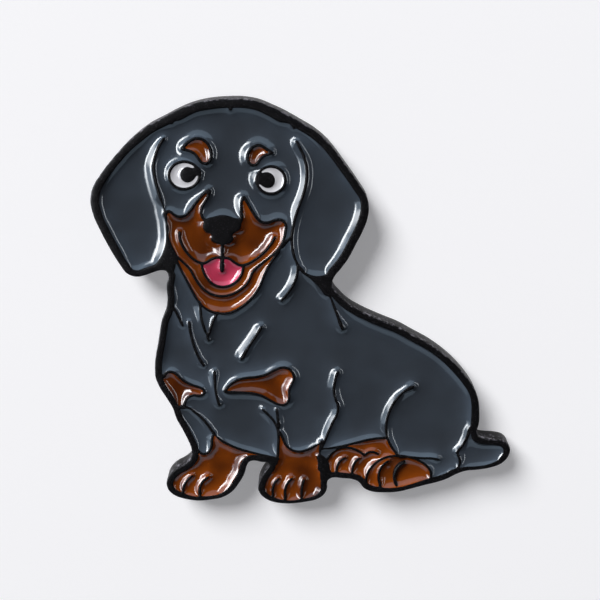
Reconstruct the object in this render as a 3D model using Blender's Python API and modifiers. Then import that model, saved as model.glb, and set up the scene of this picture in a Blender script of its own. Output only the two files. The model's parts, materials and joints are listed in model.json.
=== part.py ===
"""Soft-enamel lapel pin of a sitting dachshund puppy, with two posts and butterfly clutches.

The face looks towards -Y, the posts point towards +Y and +Z is up.
The origin lies on the flat back of the plate, half-way between the two posts.
"""

import math

import bmesh
import bpy
from mathutils import Matrix, Vector
from mathutils.geometry import delaunay_2d_cdt, intersect_point_tri_2d

MM = 0.001

# Plate and enamel
PIN_HEIGHT = 38.1 * MM
PLATE_THICKNESS = 1.25 * MM
RELIEF_HEIGHT = 0.6 * MM
BORDER_WIDTH = 0.64 * MM
LINE_WIDTH = 0.25 * MM
ENAMEL_DEPTH = 0.36 * MM
ENAMEL_CLEARANCE = 0.03 * MM

# Posts
POST_DIAMETER = 1.15 * MM
POST_LENGTH = 7.0 * MM
POST_TIP_LENGTH = 0.7 * MM
POST_TIP_DIAMETER = 0.3 * MM
POST_GROOVE_DEPTH = 0.12 * MM
POST_GROOVE_WIDTH = 0.45 * MM
POST_GROOVE_FROM_TIP = 1.5 * MM
FLANGE_DIAMETER = 3.4 * MM
FLANGE_THICKNESS = 0.35 * MM
SOLDER_GAP = 0.03 * MM

# Butterfly clutches
CLOTH_GAP = 1.3 * MM
CUP_DIAMETER = 11.5 * MM
CUP_SHEET = 0.4 * MM
CUP_RIM_HEIGHT = 1.2 * MM
BORE_CLEARANCE = 0.1 * MM
CAP_DIAMETER = 6.2 * MM
CAP_HEIGHT = 2.6 * MM
CAP_SHEET = 0.35 * MM
CAP_FLANGE_WIDTH = 0.5 * MM
CRIMP_GAP = 0.03 * MM
WING_SHEET = 0.34 * MM
WING_ARM_WIDTH = 3.0 * MM
WING_WIDTH = 6.0 * MM
WING_REACH = 5.9 * MM
WING_HEIGHT = 5.5 * MM
WING_SIDE_CLEARANCE = 0.2 * MM
JAW_CLEARANCE = 0.05 * MM
PINCH_CLEARANCE = 0.2 * MM
JAW_HEIGHT = 1.0 * MM
JAW_LENGTH = 0.9 * MM
FULCRUM_RADIUS = 2.85 * MM
FULCRUM_HEIGHT = 1.45 * MM
WING_NECK = 1.0 * MM
WING_SHOULDER = 0.5 * MM
# Shares of the reach and of the rise above the fulcrum
WING_BENDS = [(0.66, 0.24), (0.84, 0.55), (0.95, 0.85), (1.0, 1.0)]

# The drawing is traced over a picture 600 units square, with v running down,
# that was taken from above the pin's middle. These undo its foreshortening.
SHEET_CENTRE = 300.0
EYE_DISTANCE = 960.0
EYE_ELEVATION = math.radians(20.0)
POST_MARKS = {"upper": (230.0, 190.0), "lower": (352.0, 388.0)}

# Outer edge of the face, clockwise from the crown. A third number scales the border there.
OUTLINE = [
    (227.6, 98.9, 1.15), (241.9, 98.9, 1.15), (259.2, 102, 1.15), (271.4, 107, 1.2), (282.7, 112.2, 1.3),
    (299, 121.3), (314.3, 130.5), (326.5, 140.7), (335.2, 150.9), (343.9, 162.8), (353, 175.4),
    (361.2, 187.6), (367, 197), (369, 207, 1.1), (367, 221, 1.2), (363, 231, 1.2), (356, 244.5, 1.2),
    (347.6, 260, 1.2), (340, 270, 1.2), (335, 276, 1.2), (332, 283.5), (339.8, 296, 0.9),
    (346.9, 303, 0.9), (358.1, 310, 0.9), (370.4, 316, 0.9), (384.7, 322, 0.9), (399.5, 328, 0.9),
    (414.2, 336, 0.9), (428.5, 343.7, 0.9), (442.8, 353.5, 0.9), (457, 366), (469, 380.4),
    (476, 392), (478.8, 402, 1.1), (479.5, 411, 1.15), (479, 424, 1.2), (478, 437, 0.9),
    (487, 439.3, 0.9),
    (497, 440, 0.9), (505, 442), (509.3, 446), (510.3, 451), (507.5, 458), (501, 464, 0.9),
    (491, 467.7, 0.7), (478, 470, 0.65), (465, 471.3, 0.75), (456, 474.5), (447, 479), (435.7, 482.7),
    (424, 485.5, 0.9), (412, 488.7, 0.8), (398, 492, 0.8), (384, 492.7, 0.85), (371, 491.5),
    (363.5, 488),
    (358.5, 482), (352, 479.4), (341, 478.4), (331, 478.3), (327.6, 481), (327.3, 487),
    (324.6, 494, 0.85),
    (317, 499.4, 0.75), (306, 502, 0.65), (296, 503.4, 0.6), (287, 503.8, 0.6), (278.7, 503.2, 0.7),
    (269, 500.7, 0.85), (261.8, 496), (258.2, 490), (258.7, 484), (262.2, 475.5), (267.3, 468.5),
    (269.4, 463.7), (262, 462.3), (255.7, 461), (250, 461.5), (246.7, 466), (245, 472.5), (239, 483.4),
    (232, 492, 0.9), (222, 497.7, 0.75), (211, 499.9, 0.7), (197, 500.8, 0.75), (186, 499.3, 0.85),
    (175.5, 496), (168.7, 490.5), (166.5, 485), (167.2, 479.5), (170.5, 474), (176, 469), (183.5, 465),
    (189.5, 460), (191.8, 454.5), (191.5, 449.5), (188, 440.5), (183.2, 431), (175.8, 417.5),
    (173, 409), (167, 399), (159.5, 387.5), (155.5, 378), (154.8, 368), (155.7, 356), (158, 343),
    (160, 330), (162, 319.5), (166, 309.5), (167.3, 301), (166.6, 285), (166, 271.2), (160.5, 270.6),
    (154, 272.3), (146, 275.2), (136, 277), (127.5, 274.2), (119.5, 264.5, 1.1), (112, 252.7, 1.2),
    (100.5, 231.5, 1.2),
    (93.4, 216, 1.2), (90.2, 201, 1.2), (92.2, 188.5, 1.15), (100, 175, 1.05), (113, 158, 1.05),
    (125, 144.7, 1.05), (136, 134.7, 1.1), (148.5, 125.4, 1.1), (162, 118.4, 1.1), (175.6, 111.1, 1.3),
    (192.9, 104, 1.15), (212, 100, 1.15),
]

# Raised lines. A point given twice is a corner, and a third number scales the line's width there.
LINES = {
    "crown_tick": [(230.4, 101, 2), (230.4, 109.5)],
    "ear_tick_left": [(171, 115, 3), (171.8, 123)],
    "ear_tick_right": [(293, 118, 3), (294, 128)],
    "ear_left": [(164.2, 138, 0.7), (160.3, 143.5), (155.6, 155), (153.3, 166), (154.7, 177),
                 (159.3, 195),
                 (164.6, 214), (167.3, 229), (166.8, 243), (162, 257), (153, 267.5)],
    "ear_right": [(296.3, 141, 0.7), (300, 148), (303.4, 155), (305.8, 163), (306.8, 172), (305.8, 184),
                  (302.5, 197), (297.5, 210.5), (293.7, 224), (291.8, 236), (292.2, 247), (294.3, 257),
                  (298, 265.5), (303, 271)],
    "neck_right": [(297.6, 263), (297.5, 272), (295.4, 280.5), (291.3, 288.3), (286.5, 295),
                   (281, 301, 0.7)],
    "cheek_right": [(281, 247, 1.6), (286, 242, 1.3), (291.5, 237)],
    "brow_left": [(182, 148.9), (189, 141.6), (196, 138.5), (202, 139.3), (207.6, 143.8), (210.7, 150.2),
                  (210.9, 157), (209, 162), (205, 163.8), (201, 162), (198, 158), (194.5, 153.7),
                  (189.5, 151), (182, 148.9)],
    "brow_right": [(272, 152.7), (265.5, 148.6), (259.5, 145.2), (254, 146.5), (249.4, 150.7),
                   (247.6, 157),
                   (249.1, 163), (253, 165.5), (257.2, 163.8), (259.6, 160), (263.2, 156.4),
                   (272, 152.7)],
    "muzzle_left": [(165, 214, 1.4), (168.5, 211.2), (173.2, 214.2), (179, 216.7), (185, 215.6),
                    (190.3, 210.5),
                    (195, 204), (200, 197.7), (204.5, 193.2), (209.3, 190.4), (209.3, 190.4),
                    (207.7, 197),
                    (204.3, 203), (201.6, 208), (201.3, 213.5), (203, 218.5), (207, 222)],
    "muzzle_right": [(241.2, 221), (241.2, 213.5), (241.2, 206), (241.8, 200.5), (243.8, 197),
                     (243.8, 197),
                     (247.2, 202.5), (252, 211), (256.8, 218), (261.5, 222), (267, 222.7), (274, 220.7),
                     (281, 220), (285.2, 223), (285.6, 231), (283.8, 239), (280.5, 246.5),
                     (276.3, 252.3)],
    "mouth": [(179.3, 231.5, 0.7), (179.7, 238), (182, 245), (186.3, 252), (192, 258), (198.5, 262.2),
              (204, 263.3), (210, 260), (216, 257.7), (222.2, 257.3), (229, 258.6), (235, 262.8),
              (241, 265.4),
              (248, 263.8), (255, 259.8), (262, 254.3), (268, 248), (272.5, 241.8), (275, 236.5, 0.7)],
    "philtrum": [(222.3, 243, 1.2), (222.3, 257, 1.3), (222.1, 264, 1.6), (222, 270.8, 1.4)],
    "tongue": [(201.6, 263.4), (202.6, 269), (205, 275), (209, 280.6), (214.5, 285), (221.7, 286.9),
               (229, 285.9), (235.2, 282.6), (239.8, 277.6), (242.6, 271.5), (243.4, 265.5)],
    "lip": [(174, 253.5, 1.4), (180.5, 260), (187, 266), (191, 271), (194.2, 277), (198, 283),
            (203.5, 289.3),
            (211, 294), (220.5, 296.2), (230, 295), (239, 290.7), (246, 285), (250, 279), (252.5, 272.5),
            (257, 267.5), (264, 261.8), (271, 256.3), (279, 249, 1.2)],
    "chin": [(174.5, 256.5, 1.4), (179.3, 266.5), (184.5, 276.5), (190, 287), (195.5, 297),
             (200.5, 304.3),
             (207.5, 309.8), (215, 312.7), (222.5, 313.6), (230.5, 312.6), (239, 308.4), (247.5, 302.2),
             (254.5, 294.8), (259.5, 287), (263, 278.5), (266.5, 270.5), (270, 264), (274, 258),
             (279, 251.5)],
    "neck_fold_a": [(171, 304, 1.5), (176, 312), (179.5, 319), (183, 326, 0.7)],
    "neck_fold_b": [(189, 321.5, 0.7), (189.8, 329), (191.7, 338), (194.3, 347), (198, 356),
                    (204, 366, 0.7)],
    "neck_fold_c": [(199.6, 302), (200.7, 312), (202, 321), (204.8, 330), (209, 341, 0.7)],
    "throat": [(218, 312.5), (214.3, 318.5), (211.7, 325), (209.6, 331.5), (207.6, 338)],
    "chest_stroke": [(261.8, 326.5, 0.7), (256, 336), (249.5, 345.5), (241, 360, 0.7)],
    "chest_centre": [(214.4, 371, 0.7), (214.7, 380), (215.6, 390), (217.2, 398.5), (219.6, 406, 0.7)],
    "shoulder": [(329.5, 296), (333.5, 305), (337.5, 316), (342.8, 330, 0.7)],
    "patch_left": [(163, 377, 1.4), (168, 372), (173, 372.2), (180, 377.8), (189, 383.6), (198, 386.9),
                   (203.3, 389.6), (204.2, 393.2), (200.5, 395.6), (193.5, 395.2), (188.7, 397.2),
                   (185.6, 401.2),
                   (183.2, 408, 1.3)],
    "patch_right": [(224.5, 391.7), (230, 385), (237, 380.2), (246, 378), (256, 377),
                    (265.5, 374.8), (274, 370.5),
                    (281, 367.8), (287.5, 368.3), (292.5, 372.5), (294, 378), (291.8, 384), (289.3, 390),
                    (289.3, 396.5), (288, 402), (283.5, 405), (277, 404), (269.5, 400),
                    (262, 395.9), (253, 393.4),
                    (243, 392.6), (224.5, 391.7)],
    "chest_hem": [(181, 407, 1.6), (188.5, 407.8), (195, 412.3), (201, 417.2), (207.5, 424.5),
                  (213, 432.2),
                  (220, 439.5), (229, 444.7), (239, 448.8), (250, 452), (262, 455), (278, 459, 1.4)],
    "foreleg_left": [(214, 432.5), (212.2, 438), (211.8, 444.5), (210, 450), (206, 453.7),
                     (202, 453.9), (198, 450.5)],
    "foreleg_inner": [(262.5, 409.3, 0.7), (268.5, 415), (274, 421.3), (277.5, 428.5),
                      (278.6, 437), (278.3, 447),
                      (277.6, 456), (276.2, 464)],
    "foreleg_stub": [(276.6, 408.5, 0.7), (277.6, 417), (278.6, 428)],
    "foreleg_right": [(278.6, 431), (282.6, 437.7), (285.6, 444.5), (290.5, 449.3), (298, 451.6),
                      (306, 450.2),
                      (314, 446.6), (322, 441.3)],
    "foreleg_outer": [(321.6, 441), (319.9, 449), (319, 458), (319.4, 470)],
    "elbow": [(337.8, 371.5, 0.7), (335.3, 380), (333.8, 389.5), (335.2, 398), (337.9, 405.5),
              (337.3, 413.5),
              (333, 422), (328.7, 431.5), (324.8, 441), (320.5, 450)],
    "belly": [(320.5, 449.7), (331, 448.2), (343, 446), (355, 443), (366, 440.2), (377, 438.4),
              (387, 437.7)],
    "gap_floor": [(319.5, 457.2, 2.4), (325, 460.5, 2)],
    "paw_far": [(326.5, 461, 1.2), (331, 454), (337, 449.4), (345.5, 447.4), (354.5, 449.2),
                (360.5, 452.3), (364.5, 455.2)],
    "paw_far_bump": [(364.5, 455.2), (368.2, 452.5), (373, 452), (378.5, 454.3, 0.7)],
    "haunch": [(412.5, 387, 1.4), (404, 391.7), (397.7, 397.8), (392.7, 405), (389, 413),
               (386.7, 421), (386, 429),
               (387.2, 437.5), (391, 446), (398, 455.5)],
    "hock": [(397, 456), (409, 457), (421, 458.2), (432, 458.5), (439, 459.7, 0.7)],
    "paw_near": [(366, 486, 1.3), (366.3, 478), (369.3, 470), (375, 463.5), (382, 459),
                 (391, 456.3), (400, 455.8),
                 (409, 457), (417, 459.6), (424, 463.6), (429, 468.6), (431.2, 474.5), (430.5, 481)],
    "tail_root": [(471, 428, 1.5), (467, 437.5, 1.2), (462.5, 445.5), (457, 452.5), (457, 452.5),
                  (459.3, 458), (459.6, 464),
                  (456.5, 471)],
    "toe_1": [(192.8, 475.5, 0.7), (187.2, 480.4), (184, 486), (182.8, 494)],
    "toe_2": [(208.5, 476.8, 0.7), (203, 481.5), (200, 487.5), (200, 496)],
    "toe_3": [(279, 478.5, 0.7), (274.6, 483), (272.8, 489), (272.9, 498)],
    "toe_4": [(292, 478.5, 0.7), (287.4, 483.5), (285.2, 489.5), (285, 500)],
    "toe_5": [(304, 479.5, 0.7), (302.4, 485), (301.5, 491), (301.7, 499.5)],
    "toe_6": [(345.7, 457.6, 0.7), (340.8, 460.4), (337.8, 465), (336, 474)],
    "toe_7": [(360, 458, 0.7), (357.2, 459.8), (353.6, 465), (351.7, 475)],
    "toe_8": [(389, 460.6, 0.7), (383.3, 465), (379.6, 471), (378.5, 477), (380.3, 487)],
    "toe_9": [(405, 462.5, 0.7), (398.7, 467), (395.1, 473), (394.3, 478.5), (396.5, 486)],
}

# Solid raised areas of bare metal, as closed outlines.
SOLIDS = {
    "nose": [(205.5, 219.2), (212, 217), (218, 215.5), (224, 215.2), (230, 216.2), (235, 218),
             (241, 219.6),
             (241.4, 225), (240, 229.6), (235, 232.6), (232.4, 235.2), (233.8, 238.4), (231.5, 242.2),
             (226.5, 244.2), (221.5, 244.6), (215.5, 243.2), (210.5, 239.3), (211.5, 236.6),
             (210.8, 233.9),
             (206.2, 232.6), (203.3, 229.4), (203, 224.5)],
    "cheek_left": [(164.5, 211), (167.3, 217), (167, 226), (168.7, 235.5), (172, 245),
                   (176, 252.5), (177.8, 259),
                   (176, 264), (173.5, 272), (166, 274), (166, 258), (168.5, 243), (168.7, 230)],
    "ear_root_right": [(297, 263.5), (302, 269.4), (309, 274.2), (318, 276), (326, 274.2), (333, 267.5),
                       (340, 273), (336, 292), (329, 297), (319.5, 288), (309, 278), (298.5, 269.5)],
    "leg_gap": [(319.5, 458), (326, 459.5), (328.7, 462), (329.6, 468), (332, 474), (330, 482),
                (324, 484), (319.9, 470)],
}

# Eyes: middle, half width and half height of the ring, and the pupil's outline.
EYE_RINGS = {
    "eye_left": (184.2, 175.4, 15.3, 13.7),
    "eye_right": (271.0, 180.1, 14.4, 13.6),
}
PUPILS = {
    "pupil_left": [(196.5, 166.2), (193, 168.2), (187.5, 166.6), (182.6, 168.8), (180.2, 173.6),
                   (181.2, 178.8),
                   (185.6, 182.4), (191, 181.9), (194.6, 178.7), (196.8, 175.6), (200.5, 175.4),
                   (200.5, 169)],
    "pupil_right": [(257.8, 172), (261.5, 172.8), (266.5, 171.9), (271.5, 173.6), (274.8, 178),
                    (274.6, 183.4),
                    (271.2, 187.4), (266, 188), (261.5, 185.6), (258.7, 183.8), (255.9, 184.3),
                    (255.6, 178)],
}

# One point inside each pool of enamel, and its colour.
POOLS = {
    "enamel_head": ((230, 170), "slate"),
    "enamel_brow_left": ((204, 152), "tan"),
    "enamel_brow_right": ((254, 156), "tan"),
    "enamel_eye_left": ((174.5, 176), "white"),
    "enamel_eye_right": ((279.5, 182), "white"),
    "enamel_muzzle": ((190, 235), "tan"),
    "enamel_chin": ((222, 305), "tan"),
    "enamel_tongue": ((212, 274), "pink"),
    "enamel_throat": ((207, 317), "slate"),
    "enamel_body": ((300, 340), "slate"),
    "enamel_patch_left": ((176, 384), "tan"),
    "enamel_patch_right": ((270, 388), "tan"),
    "enamel_foreleg": ((200, 432), "slate"),
    "enamel_paw_front_left": ((222, 465), "tan"),
    "enamel_paw_front_right": ((298, 465), "tan"),
    "enamel_leg_gap": ((326, 454.5), "slate"),
    "enamel_paw_hind_far": ((375, 445), "tan"),
    "enamel_paw_hind_near": ((412, 470), "tan"),
    "enamel_tail": ((485, 455), "slate"),
}

# Colour, roughness and metalness of each material
FINISHES = {
    "black_metal": ((0.012, 0.011, 0.012), 0.45, 0.6),
    "slate": ((0.035, 0.045, 0.06), 0.08, 0.0),
    "tan": ((0.25, 0.09, 0.02), 0.08, 0.0),
    "white": ((0.85, 0.85, 0.87), 0.08, 0.0),
    "pink": ((0.75, 0.1, 0.2), 0.08, 0.0),
    "post_metal": ((0.72, 0.7, 0.66), 0.3, 1.0),
    "clutch_metal": ((0.78, 0.6, 0.28), 0.25, 1.0),
}

MAX_TURN = math.radians(24.0)
ROUND_STEPS = 32
POST_STEPS = 20
EYE_STEPS = 24
RIBBON_STEPS = 6
WELD = 1e-7


def clear_scene():
    for item in list(bpy.data.objects):
        bpy.data.objects.remove(item, do_unlink=True)


def new_collection(name, hidden=False):
    group = bpy.data.collections.new(name)
    group.hide_render = hidden
    bpy.context.scene.collection.children.link(group)
    return group


def make_materials():
    made = {}
    for name, (colour, roughness, metallic) in FINISHES.items():
        material = bpy.data.materials.new(name)
        material.use_nodes = True
        shader = material.node_tree.nodes["Principled BSDF"]
        shader.inputs["Base Color"].default_value = (*colour, 1.0)
        shader.inputs["Roughness"].default_value = roughness
        shader.inputs["Metallic"].default_value = metallic
        material.diffuse_color = (*colour, 1.0)
        made[name] = material
    return made


def flat_place(u, v):
    """Place of a drawing point on the face, in sheet units from the middle of the sheet."""
    across = (u - SHEET_CENTRE) / EYE_DISTANCE
    up = (SHEET_CENTRE - v) / EYE_DISTANCE
    cosine = math.cos(EYE_ELEVATION)
    sine = math.sin(EYE_ELEVATION)
    reach = EYE_DISTANCE * cosine / (cosine + up * sine)
    return Vector((reach * across, EYE_DISTANCE * sine + reach * (up * cosine - sine)))


def sheet_scale():
    """Metres to one sheet unit, from the height of the drawn outline."""
    heights = [flat_place(*point[:2]).y for point in OUTLINE]
    return PIN_HEIGHT / (max(heights) - min(heights))


def on_face(point):
    """Place of a drawing point on the finished pin, in metres from half-way between the posts."""
    upper, lower = (flat_place(*mark) for mark in POST_MARKS.values())
    return (flat_place(*point[:2]) - (upper + lower) / 2) * sheet_scale()


def width_factor(point):
    return point[2] if len(point) > 2 else 1.0


def smooth_run(points, factors, closed):
    """Curve through the points, with as many steps in each span as its bend needs."""
    count = len(points)
    places, widths = [], []
    for i in range(count if closed else count - 1):
        a, b = points[i], points[(i + 1) % count]
        before = points[i - 1] if closed or i > 0 else a + (a - b)
        after = points[(i + 2) % count] if closed or i < count - 2 else b + (b - a)
        length = (b - a).length
        leave = ((b - a).normalized() * (a - before).length + (a - before).normalized() * length).normalized()
        arrive = ((after - b).normalized() * length + (b - a).normalized() * (after - b).length).normalized()
        bend = leave.angle(b - a) + arrive.angle(b - a)
        steps = max(1, math.ceil(bend / MAX_TURN))
        for k in range(steps):
            t = k / steps
            place = a * (2 * t**3 - 3 * t**2 + 1) + b * (3 * t**2 - 2 * t**3)
            place += (leave * (t**3 - 2 * t**2 + t) + arrive * (t**3 - t**2)) * length
            places.append(place)
            widths.append(factors[i] + (factors[(i + 1) % count] - factors[i]) * t)
    if not closed:
        places.append(points[-1])
        widths.append(factors[-1])
    return places, widths


def smooth_path(drawing, closed=False):
    """Curve through a list of drawing points, broken into runs at its corners."""
    runs = [[drawing[0]]]
    for point in drawing[1:]:
        if point[:2] == runs[-1][-1][:2]:
            runs.append([point])
        else:
            runs[-1].append(point)
    return [
        smooth_run([on_face(point) for point in run], [width_factor(point) for point in run], closed)
        for run in runs
    ]


def side_normals(places, closed):
    """Unit normals to the left of a path."""
    count = len(places)
    normals = []
    for i, place in enumerate(places):
        before = places[i - 1] if closed or i > 0 else place
        after = places[(i + 1) % count] if closed or i < count - 1 else place
        along = (after - before).normalized()
        normals.append(Vector((-along.y, along.x)))
    return normals


def ribbon(places, widths, grow):
    """Outlines that together cover a line drawn along a path, with round ends."""
    normals = side_normals(places, False)
    halves = [LINE_WIDTH * factor / 2 + grow for factor in widths]
    left = [p + n * h for p, n, h in zip(places, normals, halves)]
    right = [p - n * h for p, n, h in zip(places, normals, halves)]
    fan = [math.pi * k / 4 for k in range(5)]
    end_cap = [places[-1] + Matrix.Rotation(-a, 2) @ normals[-1] * halves[-1] for a in fan]
    start_cap = [places[0] - Matrix.Rotation(-a, 2) @ normals[0] * halves[0] for a in fan]
    pieces = [start_cap, end_cap]
    for i in range(0, len(places) - 1, RIBBON_STEPS):
        j = i + RIBBON_STEPS + 1
        pieces.append(left[i:j] + right[i:j][::-1])
    return pieces


def inset_outline(grow):
    """Inner edge of the border."""
    places, widths = smooth_path(OUTLINE, closed=True)[0]
    normals = side_normals(places, True)
    return [p - n * (BORDER_WIDTH * factor + grow) for p, n, factor in zip(places, normals, widths)]


def grown(places, grow):
    """Closed outline moved outwards."""
    area = sum(a.cross(b) for a, b in zip(places, places[1:] + places[:1]))
    out = -math.copysign(grow, area)
    return [p + n * out for p, n in zip(places, side_normals(places, True))]


def ring_path(u, v, half_width, half_height):
    """Closed path round an eye."""
    turns = [2 * math.pi * k / EYE_STEPS for k in range(EYE_STEPS + 1)]
    return [on_face((u + half_width * math.sin(a), v - half_height * math.cos(a))) for a in turns]


def link_mesh(name, mesh, group):
    item = bpy.data.objects.new(name, mesh)
    group.objects.link(item)
    return item


def weld(mesh):
    shape = bmesh.new()
    shape.from_mesh(mesh)
    bmesh.ops.remove_doubles(shape, verts=shape.verts, dist=WELD)
    bmesh.ops.recalc_face_normals(shape, faces=shape.faces)
    shape.to_mesh(mesh)
    shape.free()


def evaluated_mesh(item):
    bpy.context.view_layer.update()
    graph = bpy.context.evaluated_depsgraph_get()
    mesh = bpy.data.meshes.new_from_object(item.evaluated_get(graph))
    mesh.transform(item.matrix_world)
    weld(mesh)
    return mesh


def prism(name, outlines, front, back, group):
    """Flat outline in the plane of the face, filled and given thickness between two Y levels."""
    sheet = bpy.data.curves.new(name, "CURVE")
    sheet.dimensions = "2D"
    sheet.fill_mode = "BOTH"
    sheet.extrude = (back - front) / 2
    for outline in outlines:
        spline = sheet.splines.new("POLY")
        spline.points.add(len(outline) - 1)
        for point, place in zip(spline.points, outline):
            point.co = (place.x, place.y, 0.0, 1.0)
        spline.use_cyclic_u = True
    item = bpy.data.objects.new(name, sheet)
    bpy.context.scene.collection.objects.link(item)
    item.rotation_euler.x = math.pi / 2
    item.location.y = (front + back) / 2
    mesh = evaluated_mesh(item)
    bpy.data.objects.remove(item, do_unlink=True)
    return link_mesh(name, mesh, group)


def lathe(name, profile, group, steps=ROUND_STEPS):
    """Closed profile of (radius, height) turned about the Y axis."""
    mesh = bpy.data.meshes.new(name)
    places = [(radius, height, 0.0) for radius, height in profile]
    on_axis = profile[0][0] == 0.0
    edges = [(i, (i + 1) % len(places)) for i in range(len(places) - on_axis)]
    mesh.from_pydata(places, edges, [])
    item = link_mesh(name, mesh, group)
    turn = item.modifiers.new("turn", "SCREW")
    turn.axis = "Y"
    turn.steps = steps
    turn.render_steps = steps
    turn.use_merge_vertices = True
    turn.merge_threshold = WELD
    return bake(item)


def bake(item):
    """Replace an object's mesh with its finished shape."""
    mesh = evaluated_mesh(item)
    item.modifiers.clear()
    item.matrix_world = Matrix.Identity(4)
    old = item.data
    item.data = mesh
    bpy.data.meshes.remove(old)
    return item


def combine(item, other, operation):
    step = item.modifiers.new(operation.lower(), "BOOLEAN")
    step.operation = operation
    step.solver = "EXACT"
    step.object = other
    step.use_self = True
    return bake(item)


def finish(item, name, material, group):
    for holder in list(item.users_collection):
        holder.objects.unlink(item)
    group.objects.link(item)
    item.name = name
    item.data.name = name
    item.data.materials.clear()
    item.data.materials.append(material)
    return item


def raised_outlines(grow):
    """Outlines of every raised line and area inside the border, made wider all round by grow."""
    for drawing in LINES.values():
        for places, widths in smooth_path(drawing):
            yield from ribbon(places, widths, grow)
    for ring in EYE_RINGS.values():
        places = ring_path(*ring)
        yield from ribbon(places, [1.0] * len(places), grow)
    for shapes in (SOLIDS, PUPILS):
        for drawing in shapes.values():
            places, _ = smooth_path(drawing, closed=True)[0]
            yield grown(places, grow)


def covers(outline, spot):
    """Whether a closed outline surrounds a point."""
    within = False
    for a, b in zip(outline, outline[1:] + outline[:1]):
        if (a.y > spot.y) != (b.y > spot.y):
            within ^= spot.x < a.x + (spot.y - a.y) * (b.x - a.x) / (b.y - a.y)
    return within


def divide_face(grow):
    """Triangles of the face, and for each whether raised metal covers it. The pools shrink by grow."""
    edge, _ = smooth_path(OUTLINE, closed=True)[0]
    border = inset_outline(grow)
    raised = list(raised_outlines(grow))
    points, edges = [], []
    for outline in [edge, border, *raised]:
        first = len(points)
        points += outline
        edges += [(first + k, first + (k + 1) % len(outline)) for k in range(len(outline))]
    places, _, corners, _, _, _ = delaunay_2d_cdt(points, edges, [], 0, WELD)
    spans = []
    for outline in raised:
        across = [p.x for p in outline]
        up = [p.y for p in outline]
        spans.append((min(across), max(across), min(up), max(up)))
    triangles = []
    for face in corners:
        spot = sum((places[corner] for corner in face), Vector((0.0, 0.0))) / 3
        if covers(edge, spot):
            metal = not covers(border, spot) or any(
                left < spot.x < right and low < spot.y < high and covers(outline, spot)
                for outline, (left, right, low, high) in zip(raised, spans)
            )
            triangles.append((face, metal))
    return places, triangles


def find_pools(places, triangles):
    """Triangles of each named pool, found by spreading out from its mark."""
    beside = {}
    for index, (face, raised) in enumerate(triangles):
        for a, b in zip(face, face[1:] + face[:1]):
            if not raised:
                beside.setdefault(frozenset((a, b)), []).append(index)
    pools = {}
    for name, (mark, _) in POOLS.items():
        spot = on_face(mark)
        waiting = [
            index for index, (face, raised) in enumerate(triangles)
            if not raised and intersect_point_tri_2d(spot, *(places[corner] for corner in face))
        ]
        found = set(waiting)
        while waiting:
            face = triangles[waiting.pop()][0]
            for a, b in zip(face, face[1:] + face[:1]):
                fresh = [index for index in beside[frozenset((a, b))] if index not in found]
                found.update(fresh)
                waiting += fresh
        pools[name] = found
    return pools


def sheet_mesh(places, faces, level):
    """Flat mesh of some of the face's triangles at one Y level."""
    shape = bmesh.new()
    used = {}
    made = []
    for face in faces:
        for corner in face:
            if corner not in used:
                used[corner] = shape.verts.new((places[corner].x, level, places[corner].y))
        made.append(shape.faces.new([used[corner] for corner in face]))
    return shape, made


def simplify(shape):
    """Join flat neighbours of the same kind, so that only the outlines keep points."""
    bmesh.ops.dissolve_limit(
        shape, angle_limit=0.001, use_dissolve_boundaries=False,
        verts=shape.verts, edges=shape.edges, delimit={"MATERIAL"},
    )


def thicken(shape, faces, depth):
    """Push faces along Y, and give back the pushed faces."""
    pushed = bmesh.ops.extrude_face_region(shape, geom=faces)["geom"]
    verts = [item for item in pushed if isinstance(item, bmesh.types.BMVert)]
    bmesh.ops.translate(shape, vec=(0.0, depth, 0.0), verts=verts)
    return [item for item in pushed if isinstance(item, bmesh.types.BMFace)]


def mesh_object(name, shape, material, parts):
    bmesh.ops.recalc_face_normals(shape, faces=shape.faces)
    mesh = bpy.data.meshes.new(name)
    shape.to_mesh(mesh)
    shape.free()
    return finish(link_mesh(name, mesh, parts), name, material, parts)


def build_plate(materials, parts):
    places, triangles = divide_face(0.0)
    hollow = set().union(*find_pools(places, triangles).values())
    shape, made = sheet_mesh(places, [face for face, _ in triangles], -PLATE_THICKNESS)
    for index, face in enumerate(made):
        face.material_index = int(index in hollow)
    simplify(shape)
    raised = [face for face in shape.faces if face.material_index == 0]
    back = thicken(shape, list(shape.faces), PLATE_THICKNESS)
    bmesh.ops.dissolve_faces(shape, faces=back, use_verts=True)
    thicken(shape, raised, -RELIEF_HEIGHT)
    bmesh.ops.delete(shape, geom=raised, context="FACES")
    for face in shape.faces:
        face.material_index = 0
    mesh_object("base_plate", shape, materials["black_metal"], parts)


def build_enamel(materials, parts):
    places, triangles = divide_face(ENAMEL_CLEARANCE)
    floor = -(PLATE_THICKNESS + ENAMEL_CLEARANCE)
    for name, found in find_pools(places, triangles).items():
        shape, _ = sheet_mesh(places, [triangles[index][0] for index in sorted(found)], floor)
        simplify(shape)
        thicken(shape, list(shape.faces), -ENAMEL_DEPTH)
        mesh_object(name, shape, materials[POOLS[name][1]], parts)


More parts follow.
